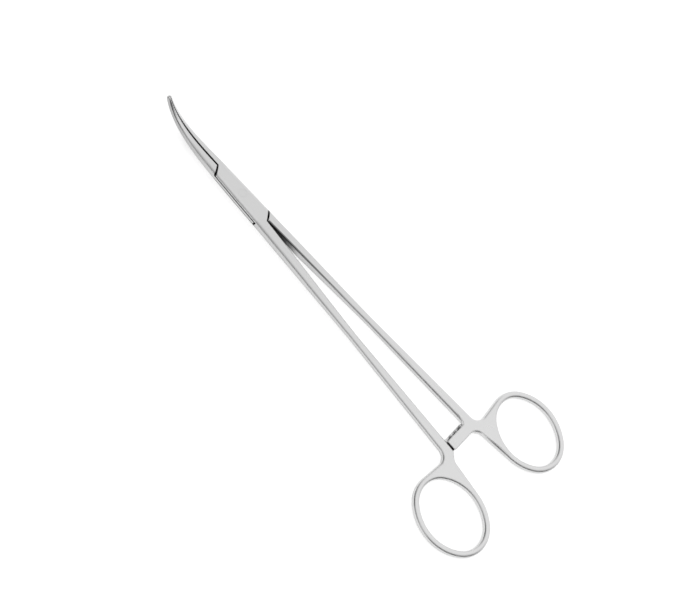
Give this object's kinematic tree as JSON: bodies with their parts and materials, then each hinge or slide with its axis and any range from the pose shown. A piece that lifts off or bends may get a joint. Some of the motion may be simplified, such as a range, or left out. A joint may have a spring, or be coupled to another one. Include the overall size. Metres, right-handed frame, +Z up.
{
  "type": "hemostat forceps",
  "caption": "Long slender locking forceps with curved, serrated jaws, a box lock, a ratchet and finger rings, in satin stainless steel.",
  "frame": {"origin": "where the lock pin's axis meets the underside of the box lock", "axes": "+X along the instrument towards the jaw tips, +Z up along the lock pin, the way the tips curve"},
  "size_m": [0.1803, 0.0682, 0.011],
  "materials": {
    "forged_steel": "satin",
    "pin_steel": "satin"
  },
  "bodies": {
    "female_body": {"female_half": "forged_steel", "lock_pin": "pin_steel"},
    "male_body": {"male_half": "forged_steel"}
  },
  "joints": [
    {"name": "box_lock_hinge", "type": "hinge", "parent": "female_body", "child": "male_body", "pos_m": [0, 0, 0.0021], "axis": [0, 0, 1], "range_deg": [0, 40]}
  ]
}
